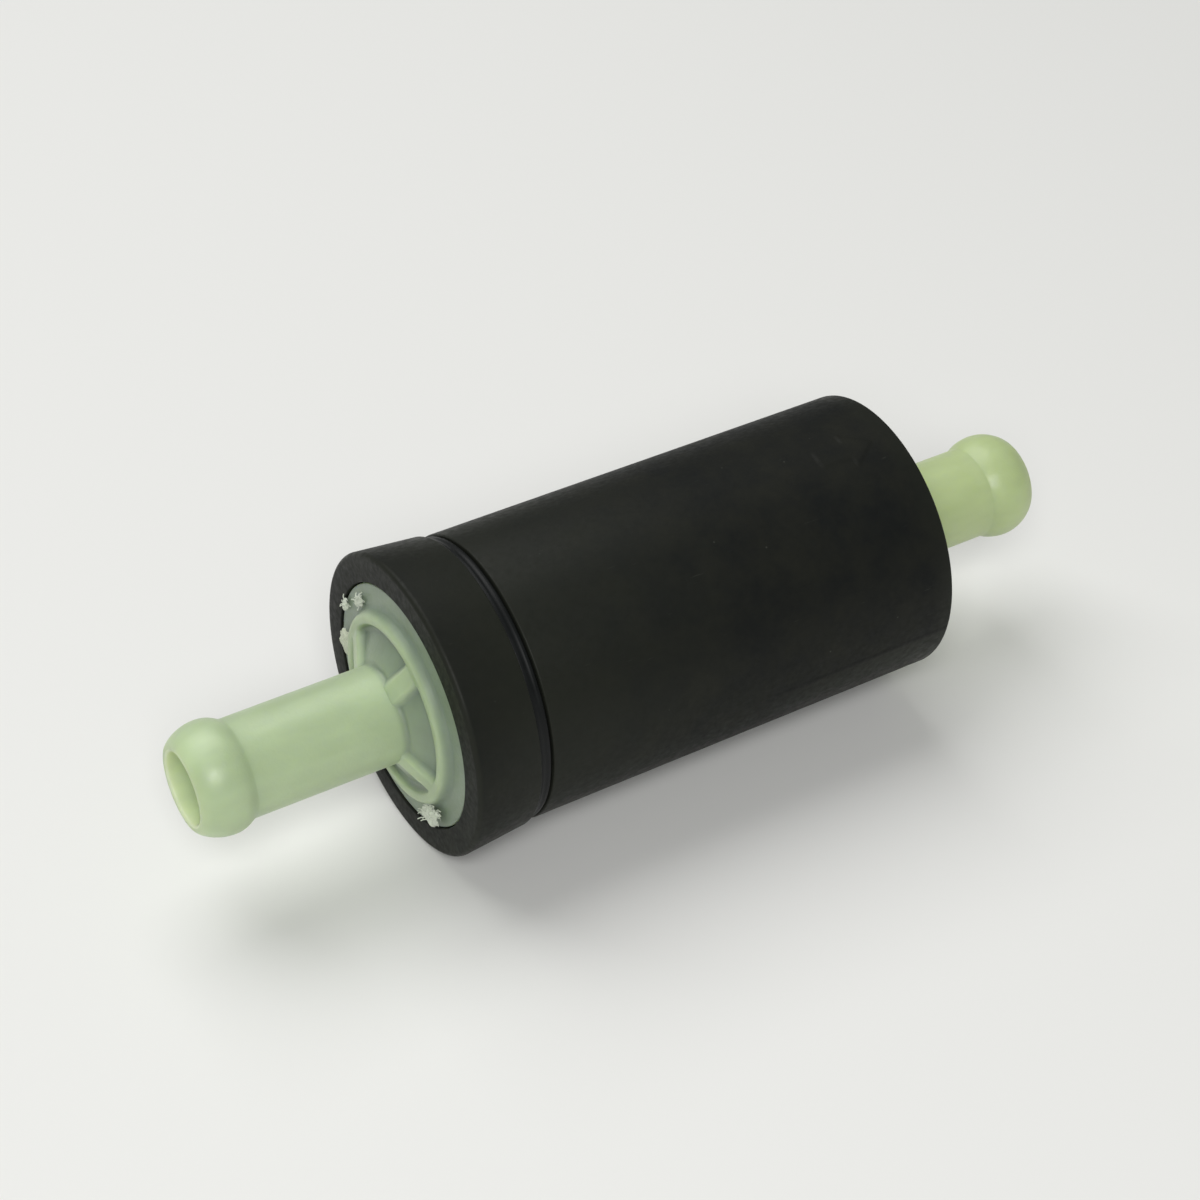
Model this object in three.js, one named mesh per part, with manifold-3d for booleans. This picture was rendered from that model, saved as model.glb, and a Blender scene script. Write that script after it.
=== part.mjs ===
// Inline fuel filter for a small engine: a black can with a flared collar at its inlet end, a
// natural nylon hose spigot at each end, and a pleated paper element inside.
// Millimetres, +Z up. +X is the fuel's way, from inlet to outlet. The origin is on the can's axis,
// half way between the two spigot tips. Inside the filter, x is counted from the collar's face.

import * as THREE from 'three';
import { mergeVertices } from 'three/addons/utils/BufferGeometryUtils.js';
import Module from 'manifold-3d';

const wasm = await Module();
wasm.setup();

// ---- driving dimensions ----

const canRadius = 12.0;
const canEndRadius = 11.9;          // the can has a slight moulding taper
const bodyLength = 44.9;            // collar face to can end face
const inletReach = 18.9;            // collar face to inlet tip
const outletReach = 14.6;           // can end face to outlet tip
const overallLength = inletReach + bodyLength + outletReach;

const facets = 32;                  // flats round every turned piece, one of them facing straight down
const clearance = 0.15;             // gap between pieces that touch in the real filter
const boreRadius = 3.0;             // fuel way through both spigots

const collar = {
  frontRadius: 12.77, backRadius: 12.12, edgeRound: 0.38, length: 5.8,
  plateBore: 10.3, neckBore: 11.1, step: 2.25,
};
const can = {
  shoulder: 7.0, neckFront: 2.4, neckRadius: 10.9, bore: 9.8,
  endWall: 2.4, endHole: 8.25, edge: 0.15,
};
const inlet = {
  reach: inletReach, shaft: 4.08, bead: 4.67, beadStart: 14.35, beadPeak: 16.2, tip: 3.54,
  plate: 10.2, ringInner: 7.3, ringOuter: 8.2, fillet: 1.0,
};
const outlet = {
  reach: outletReach, shaft: 3.9, bead: 4.48, beadStart: 10.1, beadPeak: 12.2, tip: 3.36,
  plate: 8.1, ringInner: 5.7, ringOuter: 6.5, fillet: 0.7,
};
const beadCurve = { crown: 0.6, nose: 0.55, lip: 0.5, flare: 0.4, ease: 0.3, heel: 0.05 };
const plate = { face: 0.1, floor: -0.35, ringTop: -0.75, ringDraft: 0.1 };
const rib = { count: 4, width: 1.9, first: 30, high: -1.6, low: -0.8, root: 0.4 };
const skirt = { end: 5.6, inner: 7.4, outer: 9.5, grooveFrom: 3.25, grooveTo: 4.45, grooveRadius: 8.7 };
const spout = { flange: 9.5, flangeFrom: 3.5, flangeTo: 4.9, tube: 3.6, end: 8.4 };
const seal = { round: 0.2, inletSection: 0.9, outletSection: 0.8, grommetLip: 0.8 };
const element = {
  front: 9.0, back: 38.8, radius: 8.9, disc: 1.2, hole: 5.0, rim: 1.2, rimWall: 0.35, potting: 0.65,
};
const lug = { count: 4, thickness: 1.2, width: 2.0, root: 0.4 };
const core = { outer: 4.6, inner: 4.0, windows: 6, windowLength: 2.6, windowWidth: 2.2 };
const pleats = { count: 28, tip: 8.3, valley: 5.95, fold: 1.1 };
const clip = { wall: 0.25, width: 1.5, legs: 0.9, top: 8.85 };
const arrow = {
  tail: 37.2, length: 5.3, headLength: 2.5, headWidth: 3.8, shaftWidth: 1.8, angle: 102.5,
  proud: 0.12, rooted: 1.0,
};

const black = { color: '#262825', roughness: 0.55, metalness: 0 };
const glossBlack = { color: '#191c1d', roughness: 0.2, metalness: 0 };
const nylon = { color: '#a9b995', roughness: 0.38, metalness: 0 };
const rubber = { color: '#1c1c1c', roughness: 0.7, metalness: 0 };
const paper = { color: '#c9a24e', roughness: 0.9, metalness: 0 };
const resin = { color: '#b8863a', roughness: 0.45, metalness: 0 };
const whiteNylon = { color: '#dddcd2', roughness: 0.5, metalness: 0 };
const tinplate = { color: '#a8aaac', roughness: 0.35, metalness: 0.9 };

// ---- helpers ----

const radians = THREE.MathUtils.degToRad;

// Turns an outline of [x, radius] points about the X axis. The flats touch the true radius.
function turned(outline) {
  const grow = 1 / Math.cos(Math.PI / facets);
  const points = outline.map(([x, r]) => new THREE.Vector2(r * grow, x));
  if (THREE.ShapeUtils.isClockWise(points)) {
    points.reverse();
  }
  points.push(points[0].clone());
  const geometry = new THREE.LatheGeometry(points, facets, Math.PI / facets);
  return geometry.rotateZ(-Math.PI / 2);
}

function ring(x0, x1, inner, outer) {
  return turned([[x0, inner], [x1, inner], [x1, outer], [x0, outer]]);
}

// Points along a circle arc in an outline, angles in degrees from the X axis.
function arc(x, r, radius, from, to, steps) {
  return Array.from({ length: steps + 1 }, (_, i) => {
    const angle = radians(from + ((to - from) * i) / steps);
    return [x + radius * Math.cos(angle), r + radius * Math.sin(angle)];
  });
}

function curve(start, control1, control2, end, steps) {
  const points = [start, control1, control2, end].map(([x, r]) => new THREE.Vector2(x, r));
  return new THREE.CubicBezierCurve(...points).getPoints(steps).map((p) => [p.x, p.y]);
}

function torus(x, r, radius) {
  const sides = 8;
  return turned(arc(x, r, radius, 0, 360, sides).slice(0, sides));
}

function solid(geometry) {
  const bare = geometry.index ? geometry.clone() : mergeVertices(geometry);
  bare.deleteAttribute('normal');
  bare.deleteAttribute('uv');
  const merged = mergeVertices(bare, 1e-5);
  return new wasm.Manifold(new wasm.Mesh({
    numProp: 3,
    vertProperties: Float32Array.from(merged.attributes.position.array),
    triVerts: Uint32Array.from(merged.index.array),
  }));
}

function geometryOf(manifold) {
  const mesh = manifold.getMesh();
  const geometry = new THREE.BufferGeometry();
  geometry.setAttribute('position', new THREE.BufferAttribute(mesh.vertProperties, 3));
  geometry.setIndex(new THREE.BufferAttribute(mesh.triVerts, 1));
  return geometry;
}

function part(name, geometry, finish) {
  const mesh = new THREE.Mesh(geometry, new THREE.MeshStandardMaterial(finish));
  mesh.name = name;
  return mesh;
}

// ---- black outside ----

function flowArrow() {
  const { tail, length, headLength, headWidth, shaftWidth, angle, proud, rooted } = arrow;
  const neck = length - headLength;
  const shape = new THREE.Shape([
    [0, -shaftWidth / 2], [neck, -shaftWidth / 2], [neck, -headWidth / 2], [length, 0],
    [neck, headWidth / 2], [neck, shaftWidth / 2], [0, shaftWidth / 2],
  ].map(([x, y]) => new THREE.Vector2(x, y)));
  const geometry = new THREE.ExtrudeGeometry(shape, { depth: rooted + proud, bevelEnabled: false });
  geometry.translate(tail, 0, canRadius - rooted);
  return geometry.rotateX(radians(angle - 90));
}

function housingCan() {
  const wallFace = bodyLength - can.endWall;
  const body = turned([
    [can.neckFront, can.bore],
    [wallFace, can.bore],
    [wallFace, can.endHole],
    [bodyLength, can.endHole],
    [bodyLength, canEndRadius - can.edge],
    [bodyLength - can.edge, canEndRadius],
    [can.shoulder + can.edge, canRadius],
    [can.shoulder, canRadius - can.edge],
    [can.shoulder, can.neckRadius],
    [can.neckFront, can.neckRadius],
  ]);
  return geometryOf(solid(body).add(solid(flowArrow())));
}

function frontCollar() {
  const { frontRadius, backRadius, edgeRound, length, plateBore, neckBore, step } = collar;
  return turned([
    [0, plateBore],
    ...arc(edgeRound, frontRadius - edgeRound, edgeRound, 180, 90, 3),
    [length - edgeRound / 2, backRadius],
    [length, backRadius - edgeRound / 2],
    [length, neckBore],
    [step, neckBore],
    [step, plateBore],
  ]);
}

function jointSeal() {
  const from = collar.length + clearance;
  const to = can.shoulder - clearance;
  const top = canRadius - clearance;
  const { round } = seal;
  return turned([
    [from, can.neckRadius + clearance], [to, can.neckRadius + clearance],
    [to, top - round], [to - round, top], [from + round, top], [from, top - round],
  ]);
}

// ---- nylon fittings ----
// A fitting is drawn with its spigot towards -X and x = 0 on the end face that it sits in.

// The bead is a rounded nose in front of its peak and an S-shaped slope behind it.
function spigotOutline({ reach, shaft, bead, beadStart, beadPeak, tip, ringInner, ringOuter, fillet }) {
  const { lip, flare, ease, heel } = beadCurve;
  const crown = (beadPeak - beadStart) * beadCurve.crown;
  const nose = (reach - beadPeak) * beadCurve.nose;
  const noseCurve = curve(
    [-reach, tip], [-reach + lip, tip + flare], [-beadPeak - nose, bead], [-beadPeak, bead], 5);
  const slopeCurve = curve(
    [-beadPeak, bead], [-beadPeak + crown, bead], [-beadStart - ease, shaft + heel], [-beadStart, shaft], 4);
  return [
    [-reach, boreRadius],
    ...noseCurve,
    ...slopeCurve.slice(1),
    ...arc(plate.floor - fillet, shaft + fillet, fillet, 270, 360, 4),
    [plate.floor, ringInner],
    [plate.ringTop, ringInner],
    [plate.ringTop, ringOuter - plate.ringDraft],
    [plate.face, ringOuter],
  ];
}

// Low webs on the plate, from the spigot out into the ring, highest at the spigot.
function plateRibs({ shaft, ringInner }) {
  const { count, width, first, high, low, root } = rib;
  const inside = shaft - root;
  const outside = ringInner + root;
  const side = new THREE.Shape([
    [high, inside], [low, outside], [plate.face, outside], [plate.face, inside],
  ].map(([x, r]) => new THREE.Vector2(x, r)));
  const web = new THREE.ExtrudeGeometry(side, { depth: width, bevelEnabled: false });
  web.translate(0, 0, -width / 2);
  return Array.from({ length: count }, (_, i) => (
    web.clone().rotateX(radians(first + (360 / count) * i))
  ));
}

function withRibs(outline, fitting) {
  return geometryOf(plateRibs(fitting).reduce(
    (whole, web) => whole.add(solid(web)), solid(turned(outline))));
}

function inletFitting() {
  const plateBack = collar.step - clearance;
  return withRibs([
    ...spigotOutline(inlet),
    [plate.face, inlet.plate],
    [plateBack, inlet.plate],
    [plateBack, skirt.outer],
    [skirt.grooveFrom, skirt.outer],
    [skirt.grooveFrom, skirt.grooveRadius],
    [skirt.grooveTo, skirt.grooveRadius],
    [skirt.grooveTo, skirt.outer],
    [skirt.end, skirt.outer],
    [skirt.end, skirt.inner],
    [plateBack, skirt.inner],
    [plateBack, boreRadius],
  ], inlet);
}

function outletFitting() {
  return withRibs([
    ...spigotOutline(outlet),
    [plate.face, outlet.plate],
    [spout.flangeFrom, outlet.plate],
    [spout.flangeFrom, spout.flange],
    [spout.flangeTo, spout.flange],
    [spout.flangeTo, spout.tube],
    [spout.end, spout.tube],
    [spout.end, boreRadius],
  ], outlet);
}

// ---- seals ----

function inletORing() {
  const middle = (skirt.grooveFrom + skirt.grooveTo) / 2;
  return torus(middle, (skirt.grooveRadius + can.bore) / 2, seal.inletSection / 2);
}

function outletORing() {
  const flangeFace = bodyLength - spout.flangeFrom;
  const wallFace = bodyLength - can.endWall;
  return torus((flangeFace + wallFace) / 2, (outlet.plate + can.bore) / 2, seal.outletSection / 2);
}

function elementGrommet() {
  const { back, disc } = element;
  const inner = spout.tube + clearance;
  const sleeve = element.hole - clearance;
  const lipRadius = sleeve + seal.grommetLip;
  const lipFace = bodyLength - spout.flangeTo - clearance;
  return turned([
    [back - disc, inner], [lipFace, inner], [lipFace, lipRadius],
    [back + clearance, lipRadius], [back + clearance, sleeve], [back - disc, sleeve],
  ]);
}

// ---- filter element ----

function inletDisc() {
  const { front, radius, disc, rim, rimWall } = element;
  const cup = solid(turned([
    [front, 0], [front, radius], [front + disc + rim, radius],
    [front + disc + rim, radius - rimWall], [front + disc, radius - rimWall], [front + disc, 0],
  ]));
  const lugFront = skirt.end + clearance;
  const lugLength = front - lugFront + lug.root;
  return geometryOf(Array.from({ length: lug.count }, (_, i) => {
    const block = new THREE.BoxGeometry(lugLength, lug.thickness, lug.width);
    block.translate(lugFront + lugLength / 2, (skirt.inner + radius) / 2, 0);
    return block.rotateX(radians((360 / lug.count) * i));
  }).reduce((whole, block) => whole.add(solid(block)), cup));
}

function outletDisc() {
  const { back, radius, disc, hole, rim, rimWall } = element;
  return turned([
    [back, hole], [back, radius], [back - disc - rim, radius],
    [back - disc - rim, radius - rimWall], [back - disc, radius - rimWall], [back - disc, hole],
  ]);
}

function pottingBead(from) {
  const { radius, rimWall, potting } = element;
  return ring(from, from + potting, core.outer + clearance, radius - rimWall - clearance);
}

const elementInside = {
  from: element.front + element.disc + clearance,
  to: element.back - element.disc - clearance,
};
const mediaEnds = {
  from: elementInside.from + element.potting + clearance / 2,
  to: elementInside.to - element.potting - clearance / 2,
};

function mediaCore() {
  const { outer, inner, windows, windowLength, windowWidth } = core;
  const tube = solid(ring(elementInside.from, elementInside.to, inner, outer));
  const pitch = (mediaEnds.to - mediaEnds.from) / windows;
  const cuts = Array.from({ length: windows * 2 }, (_, i) => {
    const cut = new THREE.BoxGeometry(windowLength, windowWidth, 3 * outer);
    const row = Math.floor(i / 2);
    cut.rotateX(radians((i % 2) * 90));
    return cut.translate(mediaEnds.from + pitch * (row + 0.5), 0, 0);
  });
  return geometryOf(cuts.reduce((whole, cut) => whole.subtract(solid(cut)), tube));
}

// The paper folds out and back between a tip radius and a valley radius.
function filterMedia() {
  const { count, tip, valley, fold } = pleats;
  const zigzag = (inset) => Array.from({ length: 2 * count }, (_, i) => {
    const radius = (i % 2 === 0 ? tip : valley) - inset;
    const angle = (Math.PI * i) / count;
    return new THREE.Vector2(radius * Math.cos(angle), radius * Math.sin(angle));
  });
  const section = new THREE.Shape(zigzag(0));
  section.holes.push(new THREE.Path(zigzag(fold)));
  const depth = mediaEnds.to - mediaEnds.from;
  const geometry = new THREE.ExtrudeGeometry(section, { depth, bevelEnabled: false });
  return geometry.rotateY(Math.PI / 2).translate(mediaEnds.from, 0, 0);
}

// A folded metal strip that holds the two ends of the paper together, over one pleat tip.
function seamClip() {
  const { wall, width, legs, top } = clip;
  const section = new THREE.Shape([
    [-width / 2, top - legs], [-width / 2, top], [width / 2, top], [width / 2, top - legs],
    [width / 2 - wall, top - legs], [width / 2 - wall, top - wall],
    [-width / 2 + wall, top - wall], [-width / 2 + wall, top - legs],
  ].map(([x, y]) => new THREE.Vector2(x, y)));
  const from = element.front + element.disc + element.rim + clearance;
  const to = element.back - element.disc - element.rim - clearance;
  const geometry = new THREE.ExtrudeGeometry(section, { depth: to - from, bevelEnabled: false });
  return geometry.rotateY(Math.PI / 2).translate(from, 0, 0);
}

// ---- assembly ----

const inside = new THREE.Group();
inside.position.x = inletReach - overallLength / 2;
inside.add(
  part('housing_can', housingCan(), black),
  part('front_collar', frontCollar(), black),
  part('joint_seal', jointSeal(), glossBlack),
  part('inlet_fitting', inletFitting(), nylon),
  part('inlet_o_ring', inletORing(), rubber),
  part('outlet_o_ring', outletORing(), rubber),
  part('element_grommet', elementGrommet(), rubber),
  part('inlet_end_disc', inletDisc(), whiteNylon),
  part('outlet_end_disc', outletDisc(), whiteNylon),
  part('inlet_potting', pottingBead(elementInside.from), resin),
  part('outlet_potting', pottingBead(elementInside.to - element.potting), resin),
  part('media_core', mediaCore(), whiteNylon),
  part('filter_media', filterMedia(), paper),
  part('pleat_seam_clip', seamClip(), tinplate),
);

const outletEnd = new THREE.Group();
outletEnd.position.x = bodyLength;
outletEnd.rotation.z = Math.PI;
outletEnd.add(part('outlet_fitting', outletFitting(), nylon));
inside.add(outletEnd);

const fuelFilter = new THREE.Group();
fuelFilter.add(inside);

export default fuelFilter;
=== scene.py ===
"""Inline fuel filter: a black moulded can with a flared collar, a natural nylon hose spigot at each
end and a pleated paper element inside. Lengths are in millimetres and become metres in each mesh.
Inside the filter, x is counted from the collar's face towards the outlet."""
import math

import bmesh
import bpy
from mathutils import Matrix, Vector


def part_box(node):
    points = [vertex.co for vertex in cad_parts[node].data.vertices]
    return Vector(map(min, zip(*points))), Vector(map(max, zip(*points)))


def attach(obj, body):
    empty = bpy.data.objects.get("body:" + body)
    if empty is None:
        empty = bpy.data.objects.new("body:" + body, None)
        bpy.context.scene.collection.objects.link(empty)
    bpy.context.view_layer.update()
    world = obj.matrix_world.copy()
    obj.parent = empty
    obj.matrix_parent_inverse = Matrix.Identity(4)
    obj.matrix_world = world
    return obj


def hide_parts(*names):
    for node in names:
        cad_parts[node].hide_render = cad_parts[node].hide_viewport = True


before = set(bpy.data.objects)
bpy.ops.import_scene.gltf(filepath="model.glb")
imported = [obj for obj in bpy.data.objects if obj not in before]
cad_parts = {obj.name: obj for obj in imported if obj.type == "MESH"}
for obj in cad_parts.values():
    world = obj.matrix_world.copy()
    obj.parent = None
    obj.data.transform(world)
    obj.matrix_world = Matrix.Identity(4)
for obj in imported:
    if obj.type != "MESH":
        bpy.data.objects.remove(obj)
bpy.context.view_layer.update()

MM = 0.001


def low(node):
    return Vector(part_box(node)[0]) / MM


def high(node):
    return Vector(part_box(node)[1]) / MM


# ---- places and sizes taken from the frame ----

collar_face = low("front_collar").x
can_end = high("housing_can").x
body_length = can_end - collar_face
collar_length = high("front_collar").x - collar_face
collar_radius = high("front_collar").z
can_radius = high("housing_can").y
inlet_reach = collar_face - low("inlet_fitting").x
outlet_reach = high("outlet_fitting").x - can_end
plate_radius = high("inlet_fitting").y
skirt_end = high("inlet_fitting").x - collar_face
seal_to = high("joint_seal").x - collar_face
element_radius = high("inlet_end_disc").y
element_back = high("outlet_end_disc").x - collar_face
potting = high("inlet_potting").x - low("inlet_potting").x
media_from = low("filter_media").x - collar_face
media_to = high("filter_media").x - collar_face
core_from = low("media_core").x - collar_face
core_to = high("media_core").x - collar_face
core_radius = high("media_core").y
floor_height = low("front_collar").z

# ---- sizes that the frame's boxes don't show ----

gap = 0.15
bore = 3.0
can_bore = 9.8
can_neck = 10.9
can_neck_front = 2.4
end_wall = 2.4
end_hole = 8.25
can_taper = 0.1
collar_back_radius = 12.22
plate_bore = 10.3
neck_bore = 11.1
collar_step = 2.25
plate_face = 0.1
plate_floor = -0.35
ring_top = -0.78

round_steps = 192
fine_steps = 384


# ---- node helpers ----

def linear(colour):
    """An sRGB hex colour as linear red, green, blue and alpha."""
    parts = [int(colour[i:i + 2], 16) / 255 for i in (1, 3, 5)]
    return [c / 12.92 if c <= 0.04045 else ((c + 0.055) / 1.055) ** 2.4 for c in parts] + [1.0]


def feed(tree, node, inputs):
    """Fills a node's inputs, each with a plain value, a socket to link from, or a node to link from
    its first output in use."""
    for name, value in inputs.items():
        if isinstance(value, bpy.types.Node):
            value = next(output for output in value.outputs if output.enabled)
        if isinstance(value, bpy.types.NodeSocket):
            tree.links.new(value, node.inputs[name])
        else:
            node.inputs[name].default_value = value


def add(tree, kind, inputs=None, **settings):
    """Adds a node with its settings, and feeds it its inputs."""
    node = tree.nodes.new(kind)
    for name, value in settings.items():
        setattr(node, name, value)
    feed(tree, node, inputs or {})
    return node


def per(size):
    """The texture scale whose features are about this many millimetres across."""
    return 1 / (size * MM)


def start_material(name):
    """A new material: its tree, its shader and the object's own coordinates."""
    material = bpy.data.materials.new(name)
    material.use_nodes = True
    tree = material.node_tree
    shader = tree.nodes["Principled BSDF"]
    place = add(tree, "ShaderNodeTexCoord").outputs["Object"]
    return material, tree, shader, place


# ---- materials ----

def moulded_black_nylon():
    """Black nylon from a spark-eroded mould: satin, softly clouded, with pale dust specks, fine
    handling scratches and edges that rubbing has smoothed a little. The same lighter colour is a
    painted sheen on the can's lower flank."""
    material, tree, shader, place = start_material("moulded_black_nylon")
    cloud = add(tree, "ShaderNodeTexNoise",
                {"Vector": place, "Scale": per(3.5), "Detail": 6.0, "Roughness": 0.65})
    grain = add(tree, "ShaderNodeTexNoise",
                {"Vector": place, "Scale": per(0.55), "Detail": 3.0, "Roughness": 0.6})
    specks = add(tree, "ShaderNodeTexVoronoi",
                 {"Vector": place, "Scale": per(2.6), "Randomness": 1.0})
    speck = add(tree, "ShaderNodeMapRange",
                {"Value": specks, "From Min": 0.01, "From Max": 0.04, "To Min": 1.0, "To Max": 0.0})
    lengthwise = add(tree, "ShaderNodeMapping",
                     {"Vector": place, "Scale": (0.12, 1.0, 1.0),
                      "Rotation": (0.0, 0.0, math.radians(14))})
    scratches = add(tree, "ShaderNodeTexNoise",
                    {"Vector": lengthwise, "Scale": per(0.25), "Detail": 1.0})
    scratch = add(tree, "ShaderNodeMapRange",
                  {"Value": scratches, "From Min": 0.76, "From Max": 0.86, "To Min": 0.0,
                   "To Max": 0.6})
    wear_and_sheen = add(tree, "ShaderNodeAttribute", attribute_name="edge")
    base = add(tree, "ShaderNodeValToRGB", {"Fac": cloud})
    base.color_ramp.elements[0].position = 0.35
    base.color_ramp.elements[0].color = linear("#171918")
    base.color_ramp.elements[1].position = 0.68
    base.color_ramp.elements[1].color = linear("#20211c")
    dusty = add(tree, "ShaderNodeMath", {0: speck, 1: scratch}, operation="MAXIMUM")
    dusty = add(tree, "ShaderNodeMath", {0: dusty, 1: 0.25}, operation="MULTIPLY")
    colour = add(tree, "ShaderNodeMix",
                 {"Factor": dusty, "A": base, "B": linear("#6a6d64")}, data_type="RGBA")
    # Lighter at worn rims, and a painted sheen on the can's lower flank (edge attribute).
    colour = add(tree, "ShaderNodeMix",
                 {"Factor": wear_and_sheen.outputs["Fac"], "A": colour, "B": linear("#252721")},
                 data_type="RGBA")
    seam = add(tree, "ShaderNodeAttribute", attribute_name="parting")
    colour = add(tree, "ShaderNodeMix",
                 {"Factor": seam.outputs["Fac"], "A": colour, "B": linear("#0c0d0c")},
                 data_type="RGBA")
    rough = add(tree, "ShaderNodeMapRange",
                {"Value": grain, "From Min": 0.3, "From Max": 0.7, "To Min": 0.46, "To Max": 0.64})
    polished = add(tree, "ShaderNodeMath",
                   {0: wear_and_sheen.outputs["Fac"], 1: -0.12, 2: rough}, operation="MULTIPLY_ADD")
    bump = add(tree, "ShaderNodeBump", {"Height": grain, "Strength": 0.5, "Distance": 0.03 * MM})
    feed(tree, shader,
         {"Base Color": colour, "Roughness": polished, "Normal": bump, "IOR": 1.53,
          "Specular IOR Level": 0.10})
    return material


def glossy_seal_rubber():
    """Nitrile rubber with a moulded skin: near black, smoother than the nylon round it, so that it
    shows thin highlights along its lips."""
    material, tree, shader, place = start_material("glossy_seal_rubber")
    waves = add(tree, "ShaderNodeTexNoise", {"Vector": place, "Scale": per(1.6), "Detail": 2.0})
    base = add(tree, "ShaderNodeMix",
               {"Factor": waves, "A": linear("#111313"), "B": linear("#1a1c1c")}, data_type="RGBA")
    rough = add(tree, "ShaderNodeMapRange", {"Value": waves, "To Min": 0.34, "To Max": 0.50})
    bump = add(tree, "ShaderNodeBump", {"Height": waves, "Strength": 0.3, "Distance": 0.04 * MM})
    feed(tree, shader,
         {"Base Color": base, "Roughness": rough, "Normal": bump, "IOR": 1.52,
          "Specular IOR Level": 0.15})
    return material


def natural_nylon(name, lit, backed_shade_colour, depth):
    """Undyed nylon, injection moulded: a greenish cream that light sinks into by depth millimetres,
    with a fine grain and faint flow marks. Painted shade makes it greyer where the black can lies
    behind it (the backing attribute), and a painted glow makes it paler in the thin-walled bore,
    which light reaches from all sides (the bore attribute)."""
    material, tree, shader, place = start_material(name)
    along = add(tree, "ShaderNodeMapping", {"Vector": place, "Scale": (0.35, 1.0, 1.0)})
    flow = add(tree, "ShaderNodeTexNoise", {"Vector": along, "Scale": per(2.4), "Detail": 2.0})
    fine = add(tree, "ShaderNodeTexNoise", {"Vector": place, "Scale": per(0.3), "Detail": 2.0})
    # Painted shade: greyer where the black can lies behind the thin nylon.
    painted_backing_shade = add(tree, "ShaderNodeAttribute", attribute_name="painted_backing_shade")
    inside = add(tree, "ShaderNodeAttribute", attribute_name="bore")
    body = add(tree, "ShaderNodeMix",
               {"Factor": painted_backing_shade.outputs["Fac"], "A": linear(lit), "B": linear(backed_shade_colour)},
               data_type="RGBA")
    # Painted glow: paler towards the bore's mouth.
    body = add(tree, "ShaderNodeMix",
               {"Factor": inside.outputs["Fac"], "A": body, "B": linear("#cbd9b4")}, data_type="RGBA")
    streak = add(tree, "ShaderNodeMapRange",
                 {"Value": flow, "From Min": 0.35, "From Max": 0.70, "To Min": 0.94, "To Max": 1.05})
    colour = add(tree, "ShaderNodeVectorMath", {0: body, "Scale": streak}, operation="SCALE")
    rough = add(tree, "ShaderNodeMapRange",
                {"Value": fine, "From Min": 0.3, "From Max": 0.7, "To Min": 0.34, "To Max": 0.44})
    relief = add(tree, "ShaderNodeMath", {0: fine, 1: 1.5, 2: flow}, operation="MULTIPLY_ADD")
    bump = add(tree, "ShaderNodeBump", {"Height": relief, "Strength": 0.3, "Distance": 0.03 * MM})
    feed(tree, shader,
         {"Base Color": colour, "Roughness": rough, "Normal": bump, "IOR": 1.53,
          "Subsurface Weight": 0.8 if depth else 0.0, "Subsurface Radius": (1.0, 1.0, 0.5),
          "Subsurface Scale": depth * MM})
    return material


def plain_polymer(name, dark, light, rough_from, rough_to, ior, cloud_size, bump_depth):
    """A one-colour moulded or cast polymer: its two colours drift over cloud_size millimetres, and
    its surface waves by bump_depth millimetres."""
    material, tree, shader, place = start_material(name)
    cloud = add(tree, "ShaderNodeTexNoise",
                {"Vector": place, "Scale": per(cloud_size), "Detail": 4.0})
    fine = add(tree, "ShaderNodeTexNoise",
               {"Vector": place, "Scale": per(cloud_size / 6), "Detail": 2.0})
    base = add(tree, "ShaderNodeMix",
               {"Factor": cloud, "A": linear(dark), "B": linear(light)}, data_type="RGBA")
    rough = add(tree, "ShaderNodeMapRange", {"Value": fine, "To Min": rough_from, "To Max": rough_to})
    bump = add(tree, "ShaderNodeBump", {"Height": fine, "Strength": 0.4, "Distance": bump_depth * MM})
    feed(tree, shader, {"Base Color": base, "Roughness": rough, "Normal": bump, "IOR": ior})
    return material


def creped_filter_paper():
    """Resin-soaked cellulose: amber, matte, with crossing fibres and a fine crepe across the fold."""
    material, tree, shader, place = start_material("creped_filter_paper")
    fibres = add(tree, "ShaderNodeTexNoise",
                 {"Vector": place, "Scale": per(0.18), "Detail": 6.0, "Roughness": 0.75})
    blotch = add(tree, "ShaderNodeTexNoise", {"Vector": place, "Scale": per(3.0), "Detail": 2.0})
    crepe = add(tree, "ShaderNodeTexWave",
                {"Vector": place, "Scale": per(4.0), "Distortion": 3.0, "Detail": 2.0},
                bands_direction="X")
    tone = add(tree, "ShaderNodeMath", {0: fibres, 1: 0.6, 2: blotch}, operation="MULTIPLY_ADD")
    base = add(tree, "ShaderNodeMapRange", {"Value": tone, "From Min": 0.45, "From Max": 1.1})
    colour = add(tree, "ShaderNodeMix",
                 {"Factor": base, "A": linear("#a87a33"), "B": linear("#dcb868")}, data_type="RGBA")
    relief = add(tree, "ShaderNodeMath",
                 {0: crepe.outputs["Fac"], 1: 0.5, 2: fibres}, operation="MULTIPLY_ADD")
    bump = add(tree, "ShaderNodeBump", {"Height": relief, "Strength": 0.6, "Distance": 0.05 * MM})
    feed(tree, shader, {"Base Color": colour, "Normal": bump, "Roughness": 0.88})
    return material


def rolled_tinplate():
    """Tinned steel strip: bright grey metal with fine rolling lines along its length."""
    material, tree, shader, place = start_material("rolled_tinplate")
    along = add(tree, "ShaderNodeMapping", {"Vector": place, "Scale": (0.04, 1.0, 1.0)})
    lines = add(tree, "ShaderNodeTexNoise", {"Vector": along, "Scale": per(0.1), "Detail": 3.0})
    base = add(tree, "ShaderNodeMix",
               {"Factor": lines, "A": linear("#8e9194"), "B": linear("#c3c5c6")}, data_type="RGBA")
    rough = add(tree, "ShaderNodeMapRange", {"Value": lines, "To Min": 0.29, "To Max": 0.44})
    bump = add(tree, "ShaderNodeBump", {"Height": lines, "Strength": 0.3, "Distance": 0.01 * MM})
    feed(tree, shader, {"Base Color": base, "Roughness": rough, "Normal": bump, "Metallic": 1.0})
    return material


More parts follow.
